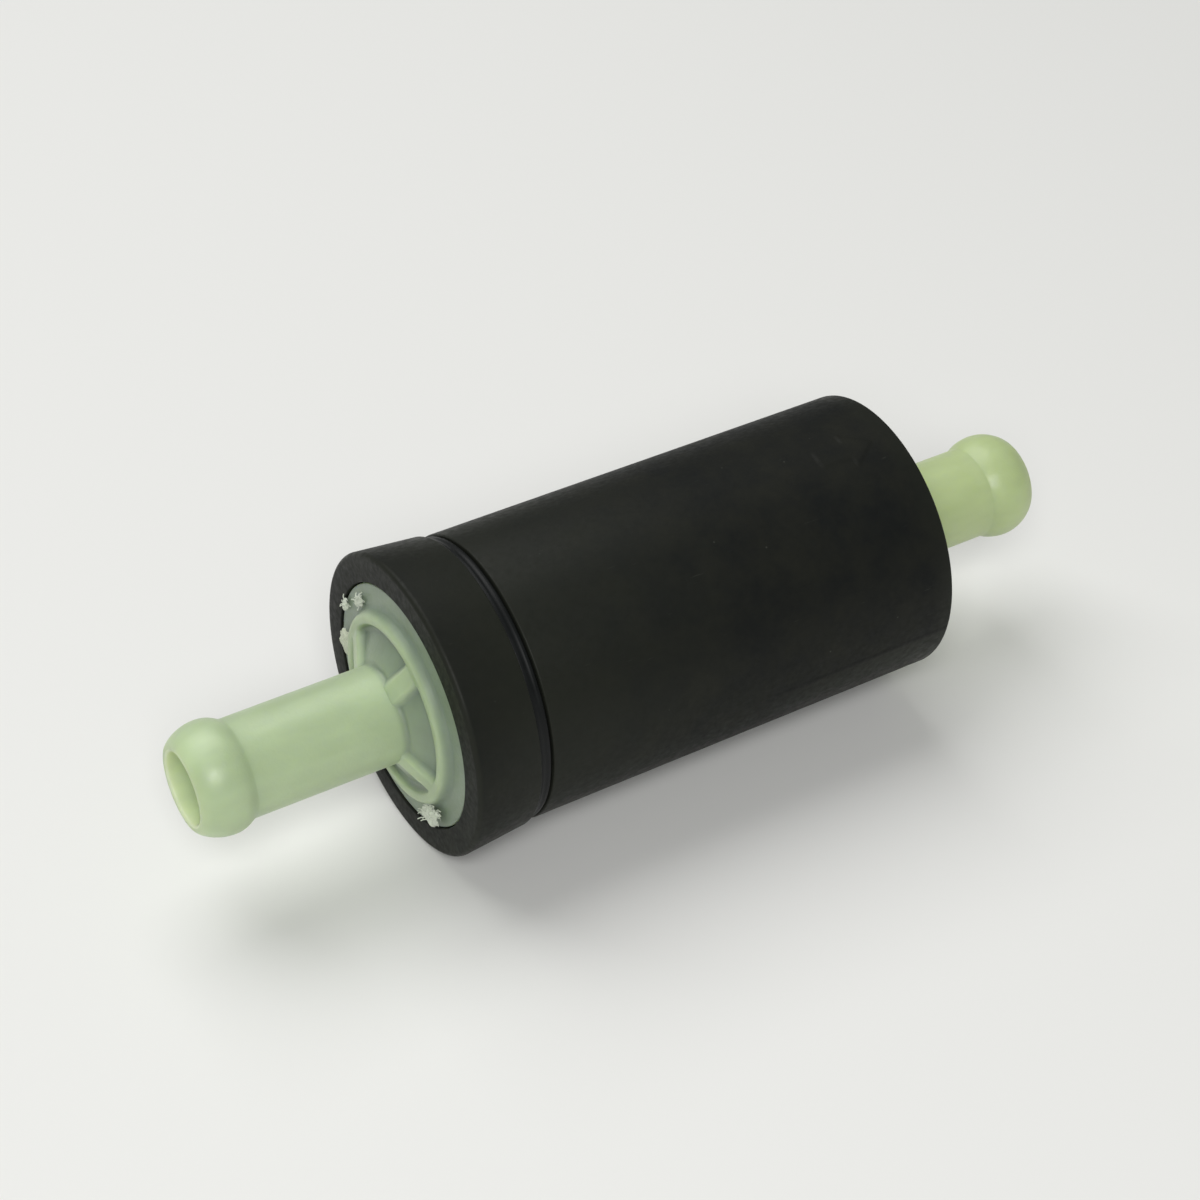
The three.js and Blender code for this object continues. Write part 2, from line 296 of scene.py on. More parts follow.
black_nylon = moulded_black_nylon()
seal_rubber = glossy_seal_rubber()
# Each nylon's second colour is painted shade for where the black can lies behind it.
inlet_nylon = natural_nylon("natural_nylon_inlet", "#b5c7a1", "#83937d", 2.4)
outlet_nylon = natural_nylon("natural_nylon_outlet", "#b9c996", "#83936f", 2.4)
torn_nylon = natural_nylon("torn_nylon", "#d3d9ca", "#d3d9ca", 0.0)
squeezed_nylon = natural_nylon("squeezed_nylon", "#c6ccb6", "#c6ccb6", 0.0)
ring_rubber = plain_polymer("nitrile_rubber", "#121212", "#1e1f1f", 0.50, 0.70, 1.52, 3.0, 0.02)
white_nylon = plain_polymer("moulded_white_nylon", "#cfcdc0", "#e4e3d9", 0.40, 0.52, 1.53, 5.0, 0.02)
potting_resin = plain_polymer("cast_potting_resin", "#96671f", "#bf8d3e", 0.29, 0.38, 1.54, 2.5, 0.05)
filter_paper = creped_filter_paper()
tinplate = rolled_tinplate()


# ---- outline helpers: an outline is a closed list of (x, radius) points ----

def arc(x, r, radius, start, end, steps):
    """Points on a circle arc about (x, r), angles in degrees from the X axis."""
    turns = [math.radians(start + (end - start) * i / steps) for i in range(steps + 1)]
    return [(x + radius * math.cos(a), r + radius * math.sin(a)) for a in turns]


def curve(start, pull1, pull2, end, steps):
    """Points on a cubic Bezier curve."""
    points = []
    for i in range(steps + 1):
        t = i / steps
        weights = ((1 - t) ** 3, 3 * t * (1 - t) ** 2, 3 * t * t * (1 - t), t ** 3)
        points.append(tuple(sum(w * p[k] for w, p in zip(weights, (start, pull1, pull2, end)))
                            for k in (0, 1)))
    return points


def rounded(corners, steps=5):
    """Rounds an outline: a corner is (x, r) as it is, or (x, r, radius) to be rounded off."""
    outline = []
    for i, corner in enumerate(corners):
        here = Vector(corner[:2])
        if len(corner) == 2:
            outline.append(tuple(here))
            continue
        back = (Vector(corners[i - 1][:2]) - here).normalized()
        ahead = (Vector(corners[(i + 1) % len(corners)][:2]) - here).normalized()
        half = back.angle(ahead) / 2
        centre = here + (back + ahead).normalized() * corner[2] / math.sin(half)
        start = here + back * corner[2] / math.tan(half) - centre
        end = here + ahead * corner[2] / math.tan(half) - centre
        sweep = start.angle(end)
        for k in range(steps + 1):
            t = k / steps
            spoke = (start * math.sin((1 - t) * sweep) + end * math.sin(t * sweep)) / math.sin(sweep)
            outline.append(tuple(centre + spoke))
    return outline


def finely(outline, longest):
    """Splits an open run of points so that no step is longer than this."""
    points = [outline[0]]
    for start, end in zip(outline, outline[1:]):
        steps = max(1, math.ceil(math.dist(start, end) / longest))
        points += [tuple(a + (b - a) * k / steps for a, b in zip(start, end))
                   for k in range(1, steps + 1)]
    return points


def smooth(t):
    """Goes from 0 to 1 as t does, with a soft start and end."""
    t = min(1.0, max(0.0, t))
    return t * t * (3 - 2 * t)


# ---- mesh helpers ----

def in_scene(name, data):
    """A new object with this data, linked to the scene."""
    thing = bpy.data.objects.new(name, data)
    bpy.context.scene.collection.objects.link(thing)
    return thing


def finished(name, bm, material):
    """Makes the mesh object from a bmesh in millimetres, with faces outward and edges smoothed."""
    bmesh.ops.remove_doubles(bm, verts=bm.verts, dist=1e-4)
    bmesh.ops.recalc_face_normals(bm, faces=bm.faces)
    bmesh.ops.scale(bm, vec=(MM, MM, MM), verts=bm.verts)
    mesh = bpy.data.meshes.new(name)
    bm.to_mesh(mesh)
    bm.free()
    return dressed(name, mesh, material)


def dressed(name, mesh, material):
    """An object with this mesh in one material, smooth but for the edges sharper than this angle."""
    sharp_from = math.radians(38)
    mesh.materials.clear()
    mesh.materials.append(material)
    mesh.shade_smooth()
    mesh.set_sharp_from_angle(angle=sharp_from)
    return in_scene(name, mesh)


def mark(bm, name, values):
    """Writes one number per vertex into a float attribute."""
    layer = bm.verts.layers.float.new(name)
    for vertex, value in zip(bm.verts, values):
        vertex[layer] = value


def turned_bmesh(outline, at, steps, shape=None, marks=None):
    """Turns a closed outline about the X axis. shape(x, r, angle) says where a point moves to in x
    and r, and marks names attributes with a rule of (x, r, angle) for each."""
    bm = bmesh.new()
    spots = []
    for x, r in outline:
        for k in range(steps):
            angle = 2 * math.pi * k / steps
            place, radius = shape(x, r, angle) if shape else (x, r)
            bm.verts.new((at + place, radius * math.cos(angle), radius * math.sin(angle)))
            spots.append((place, radius, angle))
    bm.verts.ensure_lookup_table()
    for i in range(len(outline)):
        a, b = i * steps, (i + 1) % len(outline) * steps
        for k in range(steps):
            n = (k + 1) % steps
            bm.faces.new([bm.verts[j] for j in (a + k, a + n, b + n, b + k)])
    for name, rule in (marks or {}).items():
        mark(bm, name, [rule(*spot) for spot in spots])
    return bm


def turned(name, outline, material, steps=round_steps, **rules):
    return finished(name, turned_bmesh(outline, collar_face, steps, **rules), material)


def worn_near(corners, reach):
    """A rule for the edge attribute: 1 at these corners of an outline, fading over reach."""
    return lambda x, r, angle: max(0.0, 1 - min(math.dist((x, r), c) for c in corners) / reach)


def grown(name, build, material, sizes):
    """A piece made by a geometry tree. sizes, with the material, become the tree's named inputs;
    build(tree, given) links it up and returns the node whose geometry leaves it."""
    sizes = {**sizes, "Material": material}
    tree = bpy.data.node_groups.new(build.__name__, "GeometryNodeTree")
    tree.interface.new_socket("Geometry", in_out="INPUT", socket_type="NodeSocketGeometry")
    tree.interface.new_socket("Geometry", in_out="OUTPUT", socket_type="NodeSocketGeometry")
    keys = {}
    for label, value in sizes.items():
        kind = {int: "NodeSocketInt", float: "NodeSocketFloat"}.get(type(value), "NodeSocketMaterial")
        keys[label] = tree.interface.new_socket(label, in_out="INPUT", socket_type=kind).identifier
    given = add(tree, "NodeGroupInput").outputs
    whole = add(tree, "GeometryNodeRealizeInstances", {"Geometry": build(tree, given)})
    coated = add(tree, "GeometryNodeSetMaterial", {"Geometry": whole, "Material": given["Material"]})
    add(tree, "NodeGroupOutput", {"Geometry": coated})
    host = in_scene(name, bpy.data.meshes.new(name))
    modifier = host.modifiers.new(build.__name__, "NODES")
    modifier.node_group = tree
    for label, key in keys.items():
        modifier[key] = sizes[label]
    mesh = bpy.data.meshes.new_from_object(host.evaluated_get(bpy.context.evaluated_depsgraph_get()))
    bpy.data.objects.remove(host)
    return dressed(name, mesh, material)


def put(piece, slot, *nodes):
    """The piece rides on the root and stands for its CAD nodes, which it hides. The slot is not used.
    """
    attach(piece, "root")
    if nodes:
        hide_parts(*nodes)


# ---- black outside ----

arrow_tail, arrow_length, arrow_turn = 37.2, 5.3, math.radians(102.5)


def flow_arrow(x, r, angle):
    """Raises an arrow that points to the outlet, in very low relief with soft edges, on the top."""
    head, head_half, shaft_half, height, edge = 2.5, 1.9, 0.9, 0.05, 0.25
    along = x - arrow_tail
    across = abs(angle - arrow_turn) * can_radius
    if r < can_neck or across > head_half + edge or not -edge < along < arrow_length + edge:
        return x, r
    neck = arrow_length - head
    half = shaft_half if along < neck else head_half * (arrow_length - along) / head
    raised = smooth((half - across) / edge + 0.5) * smooth(along / edge + 0.5)
    return x, r + height * raised


def housing_can():
    end_radius = can_radius - can_taper
    shoulder = seal_to + gap
    line_start = 27.0
    arrow_rings, margin = 40, 0.3
    stations = [arrow_tail - margin + (arrow_length + 2 * margin) * (1 - i / arrow_rings)
                for i in range(arrow_rings + 1)] + [line_start + 2, line_start]
    corners = [
        (can_neck_front, can_bore, 0.1),
        (body_length - end_wall, can_bore, 0.4),
        (body_length - end_wall, end_hole, 0.15),
        (body_length, end_hole, 0.15),
        (body_length, end_radius, 0.22),
        *((x, can_radius - can_taper * x / body_length) for x in stations),
        (shoulder, can_radius, 0.14),
        (shoulder, can_neck, 0.1),
        (can_neck_front, can_neck, 0.2),
    ]
    rim_wear = worn_near([(body_length, end_radius), (shoulder, can_radius)], 0.5)
    split, flank = math.radians(192), math.radians(222)
    line_half, sheen_strength, fade = 0.35, 0.6, 0.25

    def parting_line(x, r, angle):
        """1 on the thin line that the mould's split leaves on the lower side near the outlet."""
        across = abs(angle - split) * r
        return max(0.0, 1 - across / line_half) * (r > can_neck) * smooth((x - line_start) / 2)

    def wear(x, r, angle):
        """Worn at the rims, with a painted sheen on the flank below the mould's split."""
        flank_sheen = sheen_strength * (split < angle < flank) * (r > can_neck) * smooth((x - line_start) / 4)
        return max(rim_wear(x, r, angle), flank_sheen * smooth((flank - angle) / fade))

    return turned("housing_can", rounded(corners), black_nylon, fine_steps, shape=flow_arrow,
                  marks={"edge": wear, "parting": parting_line})


def front_collar():
    corners = [
        (0.0, plate_bore, 0.12),
        (0.0, collar_radius, 0.42),
        (collar_length, collar_back_radius, 0.14),
        (collar_length, neck_bore, 0.1),
        (collar_step, neck_bore, 0.1),
        (collar_step, plate_bore, 0.1),
    ]
    wear = worn_near([(0.1, collar_radius - 0.1), (collar_length, collar_back_radius)], 0.6)
    return turned("front_collar", rounded(corners, 8), black_nylon, marks={"edge": wear})


def joint_seal():
    """The glossy band in the joint: two rounded lips with a shallow hollow between them. It is
    pressed against the collar and leaves a fine gap to the can."""
    inner = can_neck + gap
    pressed = collar_length + 0.03
    lip, lip_width = can_radius - 0.10, 0.3
    hollow = lip - 0.06
    middle = (pressed + seal_to) / 2
    corners = [
        (pressed, inner), (seal_to, inner), (seal_to, lip, 0.18), (seal_to - lip_width, lip, 0.08),
        (middle, hollow, 0.4), (pressed + lip_width, lip, 0.08), (pressed, lip, 0.12),
    ]
    return turned("joint_seal", rounded(corners), seal_rubber)


# ---- nylon fittings: drawn with the spigot towards -X, x = 0 on the end face they sit in ----

def spigot_outline(reach, shaft, bead, bead_start, bead_peak, tip, ring_inner, ring_outer, fillet,
                   rise, web):
    """From the bore's mouth over the tip, the bead, the shaft, the floor that slopes up to it by
    rise, and the plate's raised ring. Steps are fine from the webs' top onwards."""
    heel = (bead_peak - bead_start) * 0.6
    nose = (reach - bead_peak) * 0.55
    mouth = 0.25
    outside = (
        arc(-reach + mouth, bore + mouth, mouth, 270, 180, 6)
        + curve((-reach, tip - 0.1), (-reach, tip + 0.25), (-bead_peak - nose, bead),
                (-bead_peak, bead), 16)
        + curve((-bead_peak, bead), (-bead_peak + heel, bead), (-bead_start - 0.3, shaft + 0.02),
                (-bead_start, shaft), 14)[1:]
    )
    root = arc(plate_floor - rise - fillet, shaft + fillet, fillet, 270, 360, 8)
    fine_from = web - 0.6
    shaft_run = finely([(-bead_start, shaft), (fine_from, shaft)], 1.5)[1:] + finely(
        [(fine_from, shaft), root[0]], 0.1)[1:-1]
    lean, flat, inner_round, outer_round = 0.15, 0.6, 0.3, 0.45
    ring = rounded([
        (plate_floor, ring_inner - flat), (plate_floor, ring_inner - lean, inner_round),
        (ring_top, ring_inner + lean, inner_round), (ring_top, ring_outer - 0.4, outer_round),
        (plate_face, ring_outer + 0.1, outer_round), (plate_face, ring_outer + flat),
    ])
    return outside + shaft_run + root + finely([root[-1]] + ring, 0.14)[1:]


def ribbed(spigot, first=math.radians(30), count=4, width=2.0):
    """A rule that lifts the plate into low webs from the spigot to the ring."""
    shaft, ring_inner, web = spigot["shaft"], spigot["ring_inner"], spigot["web"]
    low_end = ring_top - 0.05
    soft = 0.7
    spacing = 2 * math.pi / count

    def shape(x, r, angle):
        if not (shaft - 0.01 <= r <= ring_inner + 0.6 and web - 0.4 <= x <= plate_face):
            return x, r
        off = (angle - first + spacing / 2) % spacing - spacing / 2
        across = abs(r * math.sin(off))
        beside = 1 - smooth((across - (width - soft) / 2) / soft)
        outward = (r - shaft) / (ring_inner - shaft)
        top = web + (low_end - web) * min(1.0, outward)
        fade = 1 - smooth((r - ring_inner) / (soft / 2))
        lift = max(0.0, x - top)
        return x - lift * beside * fade, r
    return shape


def painted_shade_over_can(spigot, slope, thick=0.8):
    """A rule for the backing attribute, which paints shade: nearly 1 on the plate and on a floor that
    slopes up to the spigot by slope, less the higher anything stands above them, and 0 where it is
    thick, so that webs and thick parts keep the lit colour."""
    def rule(x, r, angle):
        outward = (r - spigot["shaft"]) / (spigot["ring_inner"] - spigot["shaft"])
        floor = plate_floor - slope * (1 - min(1.0, max(0.0, outward)))
        return smooth(x - floor + thick)
    return rule


def painted_bore_glow(reach, fade=9.0):
    """A rule for the bore attribute, a painted glow: 1 on the bore's wall at the mouth, then fading
    inwards.
    """
    return lambda x, r, angle: (r < bore + 0.2) * max(0.0, 1 - (x + reach) / fade)


def bore_wall(reach):
    """The bore from under the plate to just inside the mouth."""
    return finely([(-2.0, bore), (-reach + 0.6, bore)], 1.0)


inlet_spigot = {"shaft": 4.08, "bead": 4.67, "bead_start": 14.35, "bead_peak": 16.2, "tip": 3.54,
                "ring_inner": 7.0, "ring_outer": 8.25, "fillet": 0.35, "rise": 1.11, "web": -2.1}
outlet_spigot = {"shaft": 3.9, "bead": 4.48, "bead_start": 10.1, "bead_peak": 12.2, "tip": 3.36,
                 "ring_inner": 5.7, "ring_outer": 6.5, "fillet": 0.35, "rise": 1.26, "web": -1.5}


def inlet_fitting():
    plate_back = collar_step - gap
    groove_from, groove_to, groove, skirt, skirt_inner = 3.25, 4.45, 8.7, 9.5, 7.4
    outline = spigot_outline(inlet_reach, **inlet_spigot) + rounded([
        (plate_face, plate_radius, 0.12), (plate_back, plate_radius, 0.1), (plate_back, skirt),
        (groove_from, skirt, 0.08), (groove_from, groove, 0.1), (groove_to, groove, 0.1),
        (groove_to, skirt, 0.08), (skirt_end, skirt, 0.25), (skirt_end, skirt_inner, 0.15),
        (plate_back, skirt_inner, 0.4), (plate_back, bore, 0.2),
    ]) + bore_wall(inlet_reach)
    marks = {"painted_backing_shade": painted_shade_over_can(inlet_spigot, slope=1.1), "bore": painted_bore_glow(inlet_reach)}
    return turned("inlet_fitting", outline, inlet_nylon, fine_steps, shape=ribbed(inlet_spigot),
                  marks=marks)


def outlet_fitting():
    plate, flange, flange_from, flange_to, tube, tube_end = 8.1, 9.5, 3.5, 4.9, 3.6, 8.4
    outline = spigot_outline(outlet_reach, **outlet_spigot) + rounded([
        (plate_face, plate, 0.12), (flange_from, plate, 0.2), (flange_from, flange, 0.1),
        (flange_to, flange, 0.15), (flange_to, tube, 0.2), (tube_end, tube, 0.3),
        (tube_end, bore, 0.1),
    ]) + bore_wall(outlet_reach)
    marks = {"painted_backing_shade": painted_shade_over_can(outlet_spigot, slope=0.6), "bore": painted_bore_glow(outlet_reach)}
    bm = turned_bmesh(outline, 0.0, fine_steps, shape=ribbed(outlet_spigot), marks=marks)
    turn = Matrix.Translation((can_end, 0, 0)) @ Matrix.Rotation(math.pi, 4, "Z")
    bmesh.ops.transform(bm, matrix=turn, verts=bm.verts)
    return finished("outlet_fitting", bm, outlet_nylon)


# ---- seals ----

def o_ring(name):
    """A round-section ring that fills its CAD node's box."""
    lowest, highest = low(name), high(name)
    section = (highest.x - lowest.x) / 2
    middle = (highest.x + lowest.x) / 2 - collar_face
    return turned(name, arc(middle, highest.y - section, section, 0, 360, 24)[:-1], ring_rubber)


def element_grommet():
    start = low("element_grommet").x - collar_face
    end = high("element_grommet").x - collar_face
    outer = high("element_grommet").y
    inner = outer - 1.9
    hole = outer - 0.8
    lip_face = element_back + gap
    corners = [(start, inner, 0.15), (end, inner, 0.15), (end, outer, 0.25), (lip_face, outer, 0.2),
               (lip_face, hole, 0.1), (start, hole, 0.3)]
    return turned("element_grommet", rounded(corners), ring_rubber)


# ---- filter element ----

disc_wall, disc_rim, rim_wall, disc_hole = 1.2, 1.2, 0.35, 5.0


def add_block(bm, centre, size, turn):
    """A block with rounded edges, turned about the X axis."""
    block = bmesh.new()
    bmesh.ops.create_cube(block, size=1.0, matrix=Matrix.Diagonal((*size, 1.0)))
    bmesh.ops.bevel(block, geom=block.edges[:], offset=0.18, segments=3, affect="EDGES", profile=0.5)
    place = Matrix.Rotation(turn, 4, "X") @ Matrix.Translation(centre)
    bmesh.ops.transform(block, matrix=place, verts=block.verts)
    mesh = bpy.data.meshes.new("block")
    block.to_mesh(mesh)
    block.free()
    bm.from_mesh(mesh)
    bpy.data.meshes.remove(mesh)


def inlet_end_disc():
    """The closed cup, with a shallow gate ring and four lugs that hold it off the inlet fitting."""
    front = media_from - potting - disc_wall - 1.5 * gap
    lug_front = low("inlet_end_disc").x - collar_face
    rim = front + disc_wall + disc_rim
    gate_inner, gate_outer, gate_depth = 2.6, 4.6, 0.2
    lug_radius, lug_height, lug_width, lug_bite = 8.15, 1.2, 2.0, 0.4
    corners = [
        (front, 0), (front, gate_inner, 0.1), (front + gate_depth, gate_inner + gate_depth, 0.1),
        (front + gate_depth, gate_outer - gate_depth, 0.1), (front, gate_outer, 0.1),
        (front, element_radius, 0.35), (rim, element_radius, 0.12),
        (rim, element_radius - rim_wall, 0.12), (front + disc_wall, element_radius - rim_wall, 0.2),
        (front + disc_wall, 0),
    ]
    bm = turned_bmesh(rounded(corners), collar_face, round_steps)
    lug_length = front - lug_front + lug_bite
    middle = collar_face + lug_front + lug_length / 2
    for quarter in range(4):
        add_block(bm, (middle, lug_radius, 0), (lug_length, lug_height, lug_width),
                  math.radians(90 * quarter))
    return finished("inlet_end_disc", bm, white_nylon)


def outlet_end_disc():
    back = element_back
    rim = back - disc_wall - disc_rim
    corners = [
        (back, disc_hole, 0.15), (back, element_radius, 0.35), (rim, element_radius, 0.12),
        (rim, element_radius - rim_wall, 0.12), (back - disc_wall, element_radius - rim_wall, 0.2),
        (back - disc_wall, disc_hole, 0.1),
    ]
    return turned("outlet_end_disc", rounded(corners), white_nylon)


def potting_bead(name, towards):
    """Cast resin between a cup and the paper. It creeps up both walls; towards is its free side."""
    lowest, highest = low(name), high(name)
    wall, free = (lowest.x, highest.x) if towards > 0 else (highest.x, lowest.x)
    wall, free = wall - collar_face, free - collar_face
    inner, outer = core_radius + gap, highest.y
    dip = 0.22 * towards
    creep = 0.5
    surface = curve((free, outer), (free - dip, outer - creep), (free - dip, inner + creep),
                    (free, inner), 14)
    return turned(name, [(wall, inner), (wall, outer)] + surface, potting_resin)


def pleated_sheet(tree, given):
    """A star-shaped loop with rounded folds, swept with the paper's section and slightly rippled."""
    star = add(tree, "GeometryNodeCurveStar",
               {"Points": given["Pleats"], "Twist": 0.0, "Inner Radius": given["Valley"],
                "Outer Radius": given["Tip"]})
    loop = add(tree, "GeometryNodeFilletCurve",
               {"Curve": star, "Count": 4, "Radius": given["Fold"]}, mode="POLY")
    section = add(tree, "GeometryNodeCurvePrimitiveQuadrilateral",
                  {"Width": given["Paper"], "Height": given["Length"]})
    section = add(tree, "GeometryNodeSubdivideCurve", {"Curve": section, "Cuts": 20})
    sheet = add(tree, "GeometryNodeCurveToMesh", {"Curve": loop, "Profile Curve": section})
    waves = add(tree, "ShaderNodeTexNoise", {"Scale": per(4.0), "Detail": 1.0})
    centred = add(tree, "ShaderNodeVectorMath",
                  {0: waves.outputs["Color"], 1: (0.5, 0.5, 0.5)}, operation="SUBTRACT")
    offset = add(tree, "ShaderNodeVectorMath",
                 {0: centred, "Scale": given["Ripple"]}, operation="SCALE")
    flat = add(tree, "ShaderNodeVectorMath", {0: offset, 1: (1.0, 1.0, 0.0)}, operation="MULTIPLY")
    rippled = add(tree, "GeometryNodeSetPosition", {"Geometry": sheet, "Offset": flat})
    start = add(tree, "ShaderNodeCombineXYZ", {"X": given["Middle"]})
    return add(tree, "GeometryNodeTransform",
               {"Geometry": rippled, "Rotation": (0.0, math.radians(90), 0.0), "Translation": start})


def filter_media():
    return grown("filter_media", pleated_sheet, filter_paper, {
        "Pleats": 28,
        "Tip": high("filter_media").y * MM - 0.2 * MM,
        "Valley": 5.5 * MM,
        "Fold": 0.28 * MM,
        "Paper": 0.35 * MM,
        "Length": (media_to - media_from) * MM,
        "Ripple": 0.25 * MM,
        "Middle": (collar_face + (media_from + media_to) / 2) * MM,
    })


def windowed_tube(tree, given):
    """A tube with rows of four rounded windows cut through its wall."""
    per_row = 4.0
    path = add(tree, "GeometryNodeCurvePrimitiveCircle",
               {"Resolution": 96, "Radius": given["Radius"]})
    section = add(tree, "GeometryNodeCurvePrimitiveQuadrilateral",
                  {"Width": given["Wall"], "Height": given["Length"]})
    tube = add(tree, "GeometryNodeCurveToMesh", {"Curve": path, "Profile Curve": section})
    tube = add(tree, "GeometryNodeTransform",
               {"Geometry": tube, "Rotation": (0.0, math.radians(90), 0.0)})
    opening = add(tree, "GeometryNodeCurvePrimitiveQuadrilateral",
                  {"Width": given["Window length"], "Height": given["Window width"]})
    opening = add(tree, "GeometryNodeFilletCurve",
                  {"Curve": opening, "Count": 4, "Radius": given["Corner"]}, mode="POLY")
    depth = add(tree, "ShaderNodeMath", {0: given["Radius"], 1: 1.5}, operation="MULTIPLY")
    deep = add(tree, "ShaderNodeCombineXYZ", {"Z": depth})
    line = add(tree, "GeometryNodeCurvePrimitiveLine", {"End": deep})
    cutter = add(tree, "GeometryNodeCurveToMesh",
                 {"Curve": line, "Fill Caps": True, "Profile Curve": opening})
    total = add(tree, "ShaderNodeMath", {0: given["Rows"], 1: per_row}, operation="MULTIPLY")
    points = add(tree, "GeometryNodeMeshLine", {"Count": total, "Offset": (0, 0, 0)})
    index = add(tree, "GeometryNodeInputIndex")
    row = add(tree, "ShaderNodeMath", {0: index, 1: per_row}, operation="DIVIDE")
    row = add(tree, "ShaderNodeMath", {0: row}, operation="FLOOR")
    pitch = add(tree, "ShaderNodeMath", {0: given["Length"], 1: given["Rows"]}, operation="DIVIDE")
    first = add(tree, "ShaderNodeMath", {0: given["Rows"], 1: 1.0}, operation="SUBTRACT")
    centred = add(tree, "ShaderNodeMath", {0: first, 1: -0.5, 2: row}, operation="MULTIPLY_ADD")
    along = add(tree, "ShaderNodeMath", {0: centred, 1: pitch}, operation="MULTIPLY")
    place = add(tree, "ShaderNodeCombineXYZ", {"X": along})
    placed = add(tree, "GeometryNodeSetPosition", {"Geometry": points, "Position": place})
    turn = add(tree, "ShaderNodeMath",
               {0: index, 1: math.radians(360 / per_row)}, operation="MULTIPLY")
    turn = add(tree, "ShaderNodeCombineXYZ", {"X": turn})
    cutters = add(tree, "GeometryNodeInstanceOnPoints",
                  {"Points": placed, "Instance": cutter, "Rotation": turn})
    cutters = add(tree, "GeometryNodeRealizeInstances", {"Geometry": cutters})
    cut = add(tree, "GeometryNodeMeshBoolean",
              {"Mesh 1": tube, "Mesh 2": cutters}, operation="DIFFERENCE")
    middle = add(tree, "ShaderNodeCombineXYZ", {"X": given["Middle"]})
    return add(tree, "GeometryNodeTransform", {"Geometry": cut, "Translation": middle})


def media_core():
    wall = 0.6
    return grown("media_core", windowed_tube, white_nylon, {
        "Radius": (core_radius - wall / 2) * MM,
        "Wall": wall * MM,
        "Length": (core_to - core_from) * MM,
        "Rows": 6,
        "Window length": 2.6 * MM,
        "Window width": 2.2 * MM,
        "Corner": 0.5 * MM,
        "Middle": (collar_face + (core_from + core_to) / 2) * MM,
    })


def pleat_seam_clip():
    """A strip folded to a channel over one pleat tip: its section, with round bends, drawn along X."""
    wall, legs, bow, steps = 0.25, 0.9, 0.04, 40
    lowest, highest = low("pleat_seam_clip"), high("pleat_seam_clip")
    half, top = highest.z, highest.y
    section = rounded([
        (-half, top - legs), (-half, top, 0.35), (half, top, 0.35), (half, top - legs),
        (half - wall, top - legs), (half - wall, top - wall, 0.1), (wall - half, top - wall, 0.1),
        (wall - half, top - legs),
    ])
    stations = [lowest.x + (highest.x - lowest.x) * i / steps for i in range(steps + 1)]
    bm = bmesh.new()
    rings = []
    for x in stations:
        sag = bow * (math.sin(1.7 * x) - 1)
        rings.append([bm.verts.new((x, y + sag, z)) for z, y in section])
    for ahead, back in zip(rings, rings[1:]):
        for k in range(len(section)):
            n = (k + 1) % len(section)
            bm.faces.new((ahead[k], ahead[n], back[n], back[k]))
    bm.faces.new(rings[0])
    bm.faces.new(list(reversed(rings[-1])))
    return finished("pleat_seam_clip", bm, tinplate)


# ---- torn weld flash ----

